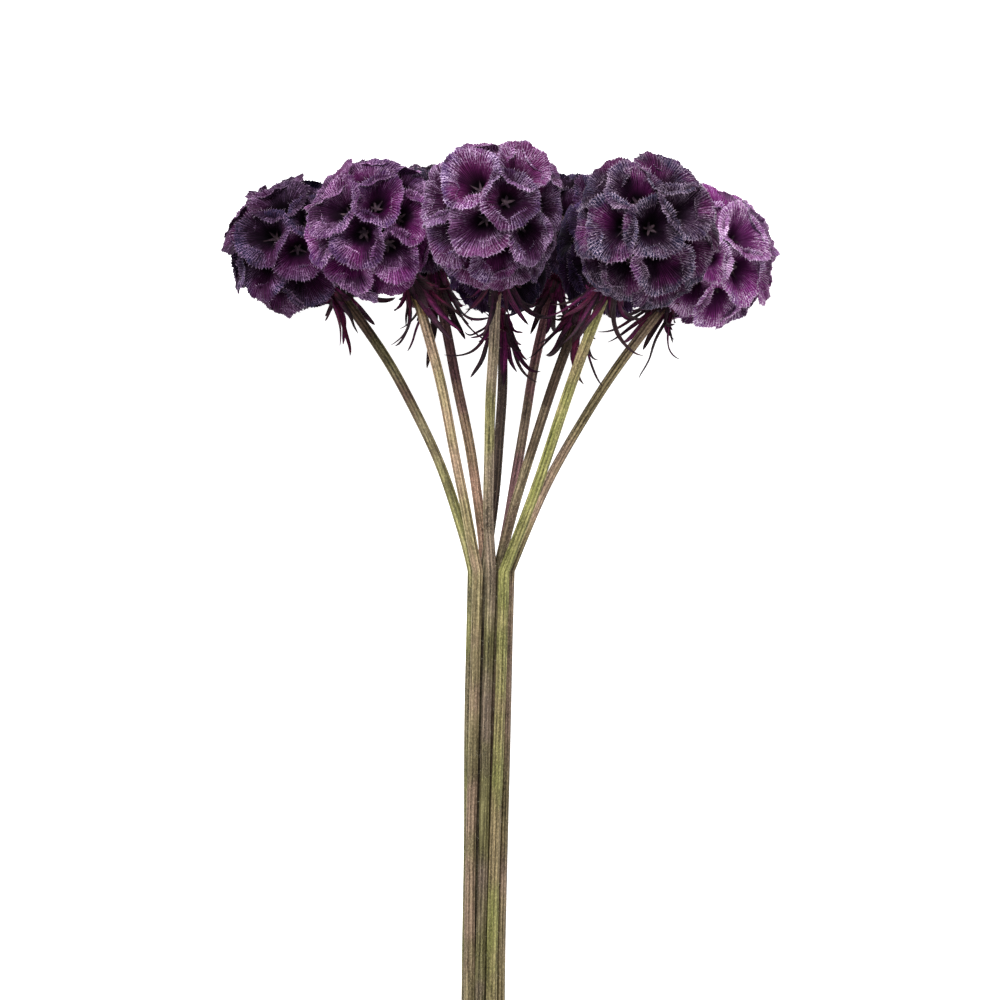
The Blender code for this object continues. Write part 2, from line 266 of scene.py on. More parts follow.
rest_pod = PODS[1]
rest_spot = Vector((BUNDLE_LEAN * (CUT_END + LEVEL_START) / 2 + rest_pod.column * SLOT_PITCH,
                    (CUT_END + LEVEL_START) / 2, 0))
SHIFT = Vector(frame["record"]["mounts"][0]["pos_m"]) - rest_spot


def smooth_step(t):
    t = min(max(t, 0.0), 1.0)
    return t * t * (3 - 2 * t)


def pod_centre(pod):
    return Vector((pod.x, pod.y, pod.z)) * MM


def pod_axis(pod):
    """The way a head points, from its stem through its middle."""
    lean, rise = radians(pod.lean), radians(pod.rise)
    return Vector((sin(lean) * cos(rise), cos(lean) * cos(rise), sin(rise)))


def pod_turn(pod):
    """Turns a head's own frame, whose +Z is its axis, into the bunch's."""
    return pod_axis(pod).to_track_quat("Z", "Y").to_matrix()


def contacts(pod, reach):
    """Planes that stop a head: a normal and a distance from its centre for each neighbour and the floor."""
    centre = pod_centre(pod)
    planes = [(Vector((0, 0, -1)), centre.z)]
    for other in PODS:
        if other is pod:
            continue
        way = pod_centre(other) - centre
        share = way.length * pod.radius / (pod.radius + other.radius) - PRESS_GAP / 2
        planes.append((way.normalized(), share))
    return [(normal, share) for normal, share in planes if share < reach]


def pressed(offsets, pod):
    """Offsets from a head's centre, squeezed flat towards each plane that the head is pressed against."""
    start = pod.radius * MM * PRESS_START
    reach = pod.radius * MM * (1 + LIFT) + PROUD
    for normal, share in contacts(pod, reach):
        along = offsets @ np.array(normal)
        squeeze = np.maximum(along - start, 0) * (1 - (share - start) / (reach - start))
        offsets = offsets - np.outer(squeeze, np.array(normal))
    return offsets


def cup_directions(pod, draw):
    """Even, slightly irregular directions on the unit ball, the last of them where the stem comes in."""
    count = round(4 * (pod.radius * MM / CUP_RADIUS) ** 2)
    turn = pi * (3 - 5 ** 0.5)
    spots = []
    for k in range(count):
        height = 1 - 2 * k / (count - 1)
        flat = max(1 - height * height, 0) ** 0.5
        angle = k * turn + draw.uniform(-SPREAD_JITTER, SPREAD_JITTER)
        spots.append(Vector((flat * cos(angle), flat * sin(angle), height)))
    for _ in range(SPREAD_STEPS):
        pushes = []
        for spot in spots[:-1]:
            push = Vector()
            for other in spots:
                way = spot - other
                if other is not spot:
                    push += way / way.length ** 3
            pushes.append(push)
        for spot, push in zip(spots, pushes):
            spot += push * SPREAD_RATE / count ** 0.5
            spot.normalize()
    return spots


def bundle_point(pod, v):
    """Where a stem runs in the bundle at the length v, measured from the pinch below the heads."""
    fall = smooth_step(1 - v / LEVEL_END)
    rest = STEM_RADIUS * cos(pi / STEM_SIDES)
    sway = SWAY * sin(pi * v / LEVEL_END) if v > LEVEL_END else 0.0
    across = pod.column * SLOT_PITCH
    up = pod.row * SLOT_PITCH * 3 ** 0.5 / 2
    x = BUNDLE_LEAN * v + across * cos(sway) - up * sin(sway)
    z = rest + PINCH_HEIGHT * fall + across * sin(sway) + up * cos(sway)
    return Vector((x, v, z))


def fan_points(pod, steps):
    """The stem's curve from the pinch out to its head."""
    start = bundle_point(pod, 0.0)
    end = pod_centre(pod) - pod_axis(pod) * STEM_TOP
    straight = (end - start).normalized()
    way = Vector((BUNDLE_LEAN, 1, 0)).lerp(straight, pod.spread).normalized()
    bow = Vector((pod.bow * MM, 0, 0))
    first_pull = start + way * PINCH_PULL + bow
    last_pull = end - pod_axis(pod) * HEAD_PULL + bow
    points = []
    for k in range(steps + 1):
        t = k / steps
        s = 1 - t
        points.append(start * s ** 3 + first_pull * 3 * s * s * t + last_pull * 3 * s * t * t + end * t ** 3)
    return points


def stem_points(pod):
    return [bundle_point(pod, v) for v in BUNDLE_STATIONS] + fan_points(pod, FAN_STEPS)


def distance_to_line(point, line):
    """The shortest distance from a point to a line of straight stretches."""
    best = 1.0
    for first, last in zip(line, line[1:]):
        way = last - first
        t = min(max((point - first).dot(way) / way.length_squared, 0), 1)
        best = min(best, (point - first - way * t).length)
    return best


def bract_path(pod, angle, flare, length):
    """The middle points of a bract's cross-sections."""
    out = pod_turn(pod) @ Vector((cos(angle), sin(angle), 0))
    down = -pod_axis(pod)
    spot = pod_centre(pod) + down * BRACT_START + out * BRACT_START_RADIUS
    path = [spot]
    for k in range(BRACT_SECTIONS):
        bend = flare * (k + 1) / BRACT_SECTIONS
        spot = spot + (down * cos(bend) + out * sin(bend)) * length / BRACT_SECTIONS
        path.append(spot)
    return path


def bract_is_clear(pod, path, lines, taken):
    """Whether a bract keeps off the floor, every head, every stem and the bracts already there."""
    for first, last in zip(path, path[1:]):
        for t in BRACT_CHECKS:
            spot = first.lerp(last, t)
            if spot.z < CLEAR_OF_FLOOR:
                return False
            for other, line in zip(PODS, lines):
                own = other is pod
                in_valley = own and (spot - pod_centre(pod)).cross(pod_axis(pod)).length < VALLEY_RADIUS
                head_reach = other.radius * MM * (1 + LIFT + SCALLOP) + CLEAR_OF_HEAD
                if not in_valley and (spot - pod_centre(other)).length < head_reach:
                    return False
                stem_reach = STEM_RADIUS + (CLEAR_OF_OWN_STEM if own else CLEAR_OF_STEM)
                if distance_to_line(spot, line) < stem_reach:
                    return False
            if any((spot - there).length < BRACT_SPACING for there in taken):
                return False
    return True


def choose_bracts(pod, draw, lines, taken):
    """The frame's own bracts of a head, each as its side of the collar, its flare and its length."""
    chosen = []
    spots = []
    for k in range(BRACT_COUNT):
        angle = 2 * pi * (k + 0.5) / BRACT_COUNT
        for attempt in range(BRACT_TRIES):
            ease = 1 - BRACT_EASE * attempt / BRACT_TRIES
            flare = radians(draw.uniform(*BRACT_FLARES))
            length = draw.uniform(*BRACT_LENGTHS) * ease * MM
            path = bract_path(pod, angle, flare, length)
            if bract_is_clear(pod, path, lines, taken):
                chosen.append((angle, flare, length))
                spots += [first.lerp(last, t) for first, last in zip(path[1:], path[2:])
                          for t in (0, 0.5, 1)]
                break
    taken += spots
    return chosen


def shade(red, green, blue):
    """A linear colour from the three 0 to 255 values of a paint chart."""
    parts = [value / 255 for value in (red, green, blue)]
    return (*(part / 12.92 if part < 0.04045 else ((part + 0.055) / 1.055) ** 2.4 for part in parts), 1)


def feed(tree, socket, value):
    """Gives a socket a fixed value or wires another socket into it."""
    if isinstance(value, bpy.types.NodeSocket):
        tree.links.new(value, socket)
    else:
        socket.default_value = value


def place_node(tree, kind, sockets, **settings):
    made = tree.nodes.new("ShaderNode" + kind)
    for name, value in settings.items():
        setattr(made, name, value)
    for name, value in sockets.items():
        feed(tree, made.inputs[name], value)
    return made


def mix(tree, share, first, last, blend="MIX"):
    sockets = {0: share, 6: first, 7: last}
    return place_node(tree, "Mix", sockets, data_type="RGBA", blend_type=blend).outputs[2]


def ease(tree, value, low, high, bottom=0.0, top=1.0):
    sockets = {"Value": value, "From Min": low, "From Max": high, "To Min": bottom, "To Max": top}
    return place_node(tree, "MapRange", sockets, interpolation_type="SMOOTHSTEP").outputs["Result"]


def maths(tree, operation, first, last):
    return place_node(tree, "Math", {0: first, 1: last}, operation=operation).outputs[0]


def attribute(tree, name, output="Fac"):
    return place_node(tree, "Attribute", {}, attribute_name=name).outputs[output]


def noise(tree, where, scale, detail=2.0, roughness=0.55):
    sockets = {"Vector": where, "Scale": scale, "Detail": detail, "Roughness": roughness}
    return place_node(tree, "TexNoise", sockets).outputs[0]


def object_place(tree):
    return place_node(tree, "TexCoord", {}).outputs["Object"]


def start_group(name, colours, values, outputs):
    """An empty group with colour and value sockets; returns its tree, its inputs and its output node."""
    tree = bpy.data.node_groups.new(name, "ShaderNodeTree")
    for socket in colours:
        tree.interface.new_socket(socket, in_out="INPUT", socket_type="NodeSocketColor")
    for socket in values:
        tree.interface.new_socket(socket, in_out="INPUT", socket_type="NodeSocketFloat")
    for socket in outputs:
        kind = "NodeSocketColor" if socket == "Color" else "NodeSocketFloat"
        tree.interface.new_socket(socket, in_out="OUTPUT", socket_type=kind)
    return tree, tree.nodes.new("NodeGroupInput").outputs, tree.nodes.new("NodeGroupOutput").inputs


def papery_cup_group():
    """Colour and height of a cup: a throat, rib valleys, grooves and back darkened as painted shade, a
    streaked wall, and frost-pale painted highlights as broken lines on its ribs, glints and a line along the
    rim.
    """
    tree, given, gives = start_group("papery cup", ["Throat Shade", "Wall", "Flush", "Margin", "Second", "Pale Highlight"],
                                     ["Highlight Strength"], ["Color", "Height"])
    where = object_place(tree)
    fan = attribute(tree, "fan", "Vector")
    short_fan = place_node(tree, "Mapping", {"Vector": fan, "Scale": (1.0, 1.0, 3.5)}).outputs[0]
    radial, rib, tint, dye = (attribute(tree, name) for name in ("radial", "rib", "tint", "dye"))
    streaks = noise(tree, fan, FAN_STREAKS, 4, 0.7)
    dashes = noise(tree, short_fan, FAN_DASHES, 3, 0.7)
    patches = noise(tree, where, HEAD_PATCHES, 3)
    fine_fan = place_node(tree, "Mapping", {"Vector": fan, "Scale": (1.0, 1.0, 1.2)}).outputs[0]
    specks = noise(tree, fine_fan, FAN_SPECKS, 2, 0.65)
    spread = noise(tree, where, HEAD_SPREAD, 2)
    aside = place_node(tree, "Mapping", {"Vector": where, "Location": (3, 5, 7)}).outputs[0]
    flushes = noise(tree, aside, HEAD_FLUSHES, 2)
    reach = maths(tree, "ADD", radial, ease(tree, patches, 0.3, 0.7, -0.16, 0.16))
    reach = maths(tree, "ADD", reach, ease(tree, streaks, 0.3, 0.7, -0.14, 0.14))
    inner = mix(tree, ease(tree, flushes, 0.46, 0.60), given["Wall"], given["Flush"])
    # Painted shade deep in the funnel: the throat's dark colour gives way to the wall towards the rim
    colour = mix(tree, ease(tree, radial, 0.26, 0.74), given["Throat Shade"], inner)
    lean = maths(tree, "ADD", maths(tree, "MULTIPLY", dye, 0.6), spread)
    margin = mix(tree, ease(tree, lean, 0.60, 0.95), given["Margin"], given["Second"])
    margin = mix(tree, ease(tree, flushes, 0.48, 0.62, 0.0, 0.55), margin, given["Flush"])
    colour = mix(tree, ease(tree, reach, 0.62, 1.05), colour, margin)
    # How strong the painted highlights are: weaker on the back of a cup and broken into patches over the head
    front = ease(tree, radial, 1.1, 1.35, 1.0, 0.5)
    highlight_strength = maths(tree, "MULTIPLY", front, given["Highlight Strength"])
    highlight_patches = noise(tree, where, HEAD_HIGHLIGHT_PATCHES, 2)
    highlight_strength = maths(tree, "MULTIPLY", highlight_strength, ease(tree, highlight_patches, 0.38, 0.58, 0.3, 1.1))
    # Painted shade in dark streaky grooves across the middle of the wall
    groove_shade = ease(tree, streaks, 0.52, 0.32)
    groove_shade = maths(tree, "MULTIPLY", groove_shade, ease(tree, radial, 0.25, 0.6, 0.2, 0.7))
    colour = mix(tree, groove_shade, colour, given["Throat Shade"])
    # Painted shade in the valleys between the ribs, strongest in the middle of the wall
    rib_valley_shade = maths(tree, "MULTIPLY", ease(tree, rib, 0.5, -0.7), ease(tree, radial, 0.2, 0.5, 0.1, 0.8))
    rib_valley_shade = maths(tree, "MULTIPLY", rib_valley_shade, ease(tree, radial, 0.98, 0.68, 0.4, 1.0))
    colour = mix(tree, rib_valley_shade, colour, given["Throat Shade"])
    # Painted highlights: broken pale lines on the crests of the ribs
    ridge_highlight = maths(tree, "MULTIPLY", ease(tree, rib, 0.45, 1.0), ease(tree, dashes, 0.38, 0.62, 0.15, 1.0))
    ridge_highlight = maths(tree, "MULTIPLY", ridge_highlight, ease(tree, reach, 0.42, 1.05, 0.0, 0.85))
    colour = mix(tree, maths(tree, "MULTIPLY", ridge_highlight, highlight_strength), colour, given["Pale Highlight"])
    # Painted glints: small pale specks towards the rim
    painted_glints = maths(tree, "MULTIPLY", ease(tree, specks, 0.56, 0.64), ease(tree, reach, 0.50, 1.05, 0.0, 1.0))
    colour = mix(tree, maths(tree, "MULTIPLY", painted_glints, highlight_strength), colour, given["Pale Highlight"])
    # Painted highlight: a thin pale line along the rim's edge
    edge = maths(tree, "MULTIPLY", ease(tree, radial, 0.96, 1.0, 0.0, 0.2), ease(tree, radial, 1.08, 1.0))
    colour = mix(tree, maths(tree, "MULTIPLY", edge, highlight_strength), colour, given["Pale Highlight"])
    # Painted shade on the back of a cup, darker towards where it meets the core
    colour = mix(tree, ease(tree, radial, 1.2, 1.7, 0.0, 0.7), colour, given["Throat Shade"])
    bright = maths(tree, "MULTIPLY", tint, 0.28)
    bright = maths(tree, "ADD", bright, ease(tree, patches, 0.3, 0.7, 0.70, 1.25))
    colour = place_node(tree, "HueSaturation", {"Value": bright, "Color": colour}).outputs["Color"]
    tree.links.new(colour, gives["Color"])
    tree.links.new(maths(tree, "ADD", dashes, maths(tree, "MULTIPLY", specks, 0.6)), gives["Height"])
    return tree


def dry_skin_group():
    """Colour and height along a stem or a bract: long streaks, blushes, a top colour, fine specks, and
    painted shade across the ribs, in the bundle and at a bract's foot.
    """
    tree, given, gives = start_group("dry skin", ["Skin", "Streak", "Blush", "Top"],
                                     ["Top Start", "Top End"], ["Color", "Height"])
    grain = attribute(tree, "grain", "Vector")
    long = place_node(tree, "Mapping", {"Vector": grain, "Scale": (1.0, 1.0, 0.035)}).outputs[0]
    flecks = place_node(tree, "Mapping", {"Vector": grain, "Scale": (1.0, 1.0, 0.55)}).outputs[0]
    streaks = noise(tree, long, SKIN_STREAKS, 4, 0.65)
    lines = noise(tree, long, SKIN_LINES, 3, 0.6)
    patches = noise(tree, grain, SKIN_PATCHES, 3)
    zones = noise(tree, grain, SKIN_ZONES, 3, 0.5)
    specks = noise(tree, flecks, SKIN_SPECKS, 2, 0.7)
    colour = mix(tree, ease(tree, streaks, 0.38, 0.64), given["Skin"], given["Streak"])
    colour = mix(tree, ease(tree, zones, 0.42, 0.60, 0.0, 0.8), colour, given["Blush"])
    along = place_node(tree, "SeparateXYZ", {0: grain}).outputs["Z"]
    along = maths(tree, "ADD", along, ease(tree, patches, 0.25, 0.75, -0.022, 0.022))
    near_head = ease(tree, along, given["Top Start"], given["Top End"], 0.0, 0.85)
    colour = mix(tree, near_head, colour, given["Top"])
    bright = maths(tree, "ADD", ease(tree, lines, 0.28, 0.72, 0.46, 1.36),
                   ease(tree, patches, 0.3, 0.7, -0.14, 0.14))
    bright = maths(tree, "ADD", bright, ease(tree, specks, 0.42, 0.68, -0.22, 0.55))
    # Painted shade and highlight: darker in a stem's grooves and lighter on its ribs; on a bract, lighter
    # along the midrib and darker towards the edges
    bright = maths(tree, "MULTIPLY", bright, ease(tree, attribute(tree, "rib"), -0.9, 0.6, 0.58, 1.14))
    # Painted shade: darker in the bundle of stems and at a bract's foot under the head
    bright = maths(tree, "MULTIPLY", bright, ease(tree, along, 0.0, 0.045, 0.75, 1.18))
    colour = place_node(tree, "HueSaturation", {"Value": bright, "Color": colour}).outputs["Color"]
    tree.links.new(colour, gives["Color"])
    tree.links.new(maths(tree, "ADD", lines, streaks), gives["Height"])
    return tree


def new_material(name, roughness, specular=0.1):
    material = bpy.data.materials.new(name)
    material.use_nodes = True
    shader = material.node_tree.nodes["Principled BSDF"]
    shader.inputs["Roughness"].default_value = roughness
    shader.inputs["Specular IOR Level"].default_value = specular
    return material, material.node_tree, shader.inputs


def finish_with(tree, sockets, group, values, depth):
    """Places a group in a material and wires its colour and its height to the shader."""
    placed = place_node(tree, "Group", {}, node_tree=group)
    for name, value in values.items():
        placed.inputs[name].default_value = value
    tree.links.new(placed.outputs["Color"], sockets["Base Color"])
    bump = place_node(tree, "Bump", {"Distance": depth, "Strength": 0.8, "Height": placed.outputs["Height"]})
    tree.links.new(bump.outputs[0], sockets["Normal"])


PAPERY_CUP = papery_cup_group()
DRY_SKIN = dry_skin_group()

# Each dye of the cups: the throat's painted shade, wall, a flush of magenta, margin, its second colour, the
# frost-pale colour of the painted highlights and their strength
DYES = {
    # deep_shade: a darker copy of the dyes, painted shade for the heads that lie deep in the bunch
    "deep_shade": (shade(6, 2, 8), shade(26, 6, 30), shade(46, 8, 50), shade(42, 20, 56), shade(24, 18, 48),
              shade(126, 98, 142), 0.6),
    # navy_and_shade: a navy dye, also darkened as painted shade for the heads low in the bunch
    "navy_and_shade": (shade(6, 2, 7), shade(34, 6, 34), shade(68, 12, 62), shade(50, 28, 54), shade(28, 28, 56),
             shade(166, 132, 172), 0.75),
    "slate": (shade(6, 2, 7), shade(38, 8, 38), shade(92, 22, 82), shade(60, 38, 62), shade(32, 32, 58),
              shade(196, 172, 196), 0.80),
    "plum": (shade(8, 2, 8), shade(62, 12, 60), shade(106, 22, 96), shade(96, 50, 98), shade(58, 30, 74),
             shade(212, 172, 214), 0.95),
    "lilac": (shade(9, 3, 9), shade(64, 14, 60), shade(104, 28, 90), shade(100, 62, 104), shade(66, 38, 84),
              shade(218, 190, 224), 1.0),
    "rose": (shade(44, 14, 42), shade(106, 34, 100), shade(134, 40, 124), shade(148, 100, 148),
             shade(116, 68, 126), shade(236, 216, 238), 1.15),
}
CUP_PAPERS = {}
for dye, (throat, wall, flush, margin, second, pale_highlight, highlight_strength) in DYES.items():
    paper, nodes, sockets = new_material("cup " + dye, 0.65, specular=0.06)
    finish_with(nodes, sockets, PAPERY_CUP,
                {"Throat Shade": throat, "Wall": wall, "Flush": flush, "Margin": margin, "Second": second,
                 "Pale Highlight": pale_highlight, "Highlight Strength": highlight_strength}, CUP_BUMP)
    CUP_PAPERS[dye] = paper

# Each skin of the stems: skin, streak, blush, the colour near the head and how far that reaches (mm)
SKINS = {
    "olive": (shade(128, 124, 82), shade(90, 88, 54), shade(138, 126, 100), shade(60, 38, 38), 48),
    "umber": (shade(148, 128, 102), shade(108, 86, 66), shade(160, 126, 110), shade(62, 32, 46), 54),
    "dark": (shade(96, 86, 68), shade(122, 114, 92), shade(74, 60, 52), shade(54, 42, 40), 50),
    "mauve": (shade(134, 116, 98), shade(94, 76, 66), shade(126, 90, 94), shade(116, 78, 84), 36),
    "drab": (shade(130, 118, 92), shade(88, 78, 58), shade(104, 84, 72), shade(64, 50, 40), 40),
    "straw": (shade(148, 136, 100), shade(106, 94, 68), shade(146, 122, 104), shade(136, 96, 60), 10),
    "green": (shade(134, 128, 88), shade(98, 92, 60), shade(130, 112, 100), shade(126, 98, 88), 7),
    "lime": (shade(150, 146, 92), shade(108, 108, 60), shade(150, 130, 100), shade(124, 98, 70), 7),
    "tan": (shade(138, 124, 92), shade(98, 86, 60), shade(136, 114, 98), shade(84, 58, 54), 16),
}
STEM_SKINS = {}
for skin, (plain, streak, blush, top, depth) in SKINS.items():
    bark, nodes, sockets = new_material("stem " + skin, 0.6)
    start, end = (STEM_TOP_REACH - depth * share * MM for share in TOP_SHARES)
    finish_with(nodes, sockets, DRY_SKIN,
                {"Skin": plain, "Streak": streak, "Blush": blush, "Top": top, "Top Start": start,
                 "Top End": end}, STEM_BUMP)
    STEM_SKINS[skin] = bark

BRACT_LEAF, nodes, sockets = new_material("bract leaf", 0.66)
finish_with(nodes, sockets, DRY_SKIN,
            {"Skin": shade(108, 30, 84), "Streak": shade(54, 14, 44), "Blush": shade(88, 24, 50),
             "Top": shade(30, 28, 26), "Top Start": 0.006, "Top End": 0.020}, LEAF_BUMP)


def plain_finish(name, dark, light, scale, low, high, roughness):
    """A finish of two colours that change into each other over fine patches, with the same bump."""
    material, tree, sockets = new_material(name, roughness)
    grains = noise(tree, object_place(tree), scale, 4, 0.65)
    tree.links.new(mix(tree, ease(tree, grains, low, high), dark, light), sockets["Base Color"])
    bump = place_node(tree, "Bump", {"Distance": LEAF_BUMP, "Strength": 0.8, "Height": grains})
    tree.links.new(bump.outputs[0], sockets["Normal"])
    return material


STAR_FINISH = plain_finish("calyx star", shade(34, 20, 32), shade(84, 66, 74), 500, 0.40, 0.68, 0.6)
BRISTLE_FINISH = plain_finish("rim bristle", shade(120, 84, 120), shade(206, 186, 206), 900, 0.4, 0.6, 0.6)
# Near-black: painted shade where the core shows between the cups
CORE_SHADE_FINISH = plain_finish("head core shade", shade(8, 3, 7), shade(26, 10, 20), 500, 0.35, 0.7, 0.8)
HAIR_FINISH = plain_finish("stem hair", shade(150, 142, 120), shade(192, 186, 164), 900, 0.4, 0.6, 0.6)
BAND_FINISH = plain_finish("natural rubber", shade(168, 134, 88), shade(190, 158, 110), 300, 0.35, 0.65, 0.5)


def copy_out(template, count, name):
    """One mesh of a number of copies of a template, and the places of the template's own corners."""
    shape = bpy.data.meshes.new("template")
    template.to_mesh(shape)
    gathered = bmesh.new()
    for _ in range(count):
        gathered.from_mesh(shape)
    data = bpy.data.meshes.new(name)
    gathered.to_mesh(data)
    gathered.free()
    corners = np.empty(len(shape.vertices) * 3)
    shape.vertices.foreach_get("co", corners)
    bpy.data.meshes.remove(shape)
    return data, corners.reshape(-1, 3)


def settle(data, points, material, slot, sharp=60, replaced=None, **measures):
    """Puts a mesh's corners in place, keeps the measures for its finish, and makes it a piece."""
    data.vertices.foreach_set("co", (points + np.array(SHIFT)).ravel())
    for name, values in measures.items():
        values = np.asarray(values, dtype=float)
        kind = "FLOAT_VECTOR" if values.shape[-1] == 3 and values.ndim > 1 else "FLOAT"
        layer = data.attributes.new(name, kind, "POINT")
        layer.data.foreach_set("vector" if kind == "FLOAT_VECTOR" else "value", values.ravel())
    data.update()
    data.shade_smooth()
    data.set_sharp_from_angle(angle=radians(sharp))
    data.materials.append(material)
    piece = bpy.data.objects.new(data.name, data)
    bpy.context.scene.collection.objects.link(piece)
    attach(piece, "root")
    if replaced:
        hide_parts(replaced)
    return piece


def on_head(pod, offsets):
    """Offsets in a head's own frame, turned its way, pressed and put round its middle."""
    turned = offsets @ np.array(pod_turn(pod)).T
    return pressed(turned, pod) + np.array(pod_centre(pod))


def cup_template():
    """A turned shell: the share of the rim's reach lies across, and the number of the row lies down."""
    shell = bmesh.new()
    line = [shell.verts.new((share, 0, -row)) for row, (share, _, _, _) in enumerate(CUP_ROWS)]
    for first, last in zip(line, line[1:]):
        shell.edges.new((first, last))
    bmesh.ops.spin(shell, geom=shell.verts[:] + shell.edges[:], cent=(0, 0, 0), axis=(0, 0, 1),
                   angle=2 * pi, steps=CUP_STEPS, use_merge=True)
    bmesh.ops.remove_doubles(shell, verts=shell.verts[:], dist=1e-4)
    bmesh.ops.recalc_face_normals(shell, faces=shell.faces[:])
    return shell


def crossways(spot, twist):
    """Two directions square to a spot on the ball, turned round it by an angle."""
    first = Vector(spot).orthogonal().normalized()
    second = Vector(spot).cross(first)
    first, second = np.array(first), np.array(second)
    return first * cos(twist) + second * sin(twist), second * cos(twist) - first * sin(twist)


def ripples(waves, around, draw):
    """Waves round a rim, each as its number and its size, that start anywhere."""
    return sum(size * np.sin(number * around + draw.uniform(0, 2 * pi)) for number, size in waves)


def make_cups(pod, spots, lifts, draw):
    """The papery cups of one head: each fills its share of the ball and laps over lower cups."""
    radius = pod.radius * MM
    count = len(spots) - 1
    data, shape = copy_out(cup_template(), count, "cups_" + pod.name)
    shares, levels, ribs, radials = np.array(CUP_ROWS).T
    row = np.round(-shape[:, 2]).astype(int)
    turn = 2 * pi / CUP_STEPS
    step = np.round(np.arctan2(shape[:, 1], shape[:, 0]) / turn).astype(int) % CUP_STEPS
    skew = [draw.uniform(-RIB_JITTER, RIB_JITTER) for _ in range(CUP_STEPS)]
    around = (np.arange(CUP_STEPS) + skew) * turn
    upward = np.array(pod_turn(pod).transposed() @ Vector((0, 0, 1)))
    wave = np.where(np.arange(CUP_STEPS) % STEPS_A_RIB == 0, 1.0, -1.0)
    on_rim = row == RIM_ROW
    ball = np.array(spots)
    ranks = np.array([spot.z + draw.uniform(-RANK_SPREAD, RANK_SPREAD) for spot in spots])
    points, tints, dyes, fans, bristles = [], [], [], [], []
    rim_corners = [np.flatnonzero(on_rim & (step == k))[0] for k in range(0, CUP_STEPS, STEPS_A_RIB)]
    for number, lift in enumerate(lifts):
        spot = ball[number]
        first, second = crossways(spot, draw.uniform(0, 2 * pi))
        ways = np.outer(np.cos(around), first) + np.outer(np.sin(around), second)
        others = np.delete(np.arange(count + 1), number)
        halfway = np.arctan2(1 - ball[others] @ spot, ways @ ball[others].T)
        pull = halfway ** -RIM_SHARPNESS
        total = pull.sum(axis=1) + RIM_CAP ** -RIM_SHARPNESS
        side = np.where(others == count, 0, np.sign(ranks[number] - ranks[others]))
        over = (pull * side).sum(axis=1) / total
        rim = total ** (-1 / RIM_SHARPNESS) * (RIM_SHARE + OVERLAP_SHARE * over)
        rim = rim * (1 + ripples(WANDERS, around, draw))
        ruffle = ripples(RUFFLES, around, draw)
        facing = ways @ upward
        ruffle = ruffle - np.where(facing > 0, FACE_DROP, FACE_RISE) * facing
        teeth = [1 + draw.uniform(-TOOTH_SPREAD, TOOTH_SPREAD) for _ in range(CUP_RIBS)]
        tooth = TOOTH / radius * wave * np.repeat(teeth, STEPS_A_RIB)
        rise = [1 + draw.uniform(-RIB_SPREAD, RIB_SPREAD) for _ in range(CUP_RIBS)]
        rise = wave * np.repeat(rise, STEPS_A_RIB)
        angle = shares[row] * rim[step] + np.where(on_rim, tooth[step], 0)
        proud = (over * OVERLAP_HEIGHT + ruffle)[step] * shares[row] ** 2 + ribs[row] * MM * rise[step]
        level = radius * (levels[row] + lift) + proud
        toward = np.outer(np.cos(angle), spot) + ways[step] * np.sin(angle)[:, None]
        points.append(toward * level[:, None])
        tints.append(draw.uniform(-1, 1))
        dyes.append(draw.random())
        seed = draw.uniform(*FAN_SEEDS)
        turned = around[step]
        fans.append(np.column_stack((np.cos(turned) + seed, np.sin(turned), radials[row] * FAN_PULL)))
        ends = angle[rim_corners], level[rim_corners]
        bristles.append((spot, ways[::STEPS_A_RIB], *ends))
    points = on_head(pod, np.concatenate(points))
    settle(data, points, CUP_PAPERS[pod.dye], "pod", replaced="pod_" + pod.name,
           radial=np.tile(radials[row], count), rib=np.tile(wave[step], count),
           tint=np.repeat(tints, len(shape)), dye=np.repeat(dyes, len(shape)), fan=np.concatenate(fans))
    make_bristles(pod, bristles, draw)


def make_bristles(pod, rims, draw):
    """A fine bristle at the end of each rib, where the papery margin is frayed."""
    spike = bmesh.new()
    bmesh.ops.create_cone(spike, cap_ends=True, segments=3, radius1=1, radius2=0, depth=1)
    data, shape = copy_out(spike, len(rims) * CUP_RIBS, "bristles_" + pod.name)
    origins, firsts, seconds, thirds = [], [], [], []
    for spot, ways, angles, levels in rims:
        for outward, angle, level in zip(ways, angles, levels):
            out = outward * cos(angle) - spot * sin(angle)
            up = spot * cos(angle) + outward * sin(angle)
            side = np.cross(spot, outward)
            length = draw.uniform(*BRISTLE_LENGTHS) * MM
            ahead = sum(way * draw.uniform(*share) for way, share in zip((out, up, side), BRISTLE_WAYS))
            thirds.append(ahead * length)
            firsts.append(side * BRISTLE_RADIUS)
            seconds.append(up * BRISTLE_RADIUS)
            origins.append(up * level - out * BRISTLE_SINK + thirds[-1] / 2)
    points = on_head(pod, place_copies(shape, origins, firsts, seconds, thirds))
    settle(data, points, BRISTLE_FINISH, "pod", sharp=80)


def draw_out(mesh, face, sections):
    """Extrudes a face again and again; each section is a middle, its two ways across and its half sizes."""
    for middle, across, up, half_width, half_height in sections:
        face = bmesh.ops.extrude_discrete_faces(mesh, faces=[face])["faces"][0]
        centre = face.calc_center_median()
        for vert in face.verts:
            right = 1 if (vert.co - centre).dot(across) > 0 else -1
            above = 1 if (vert.co - centre).dot(up) > 0 else -1
            vert.co = middle + across * right * half_width + up * above * half_height


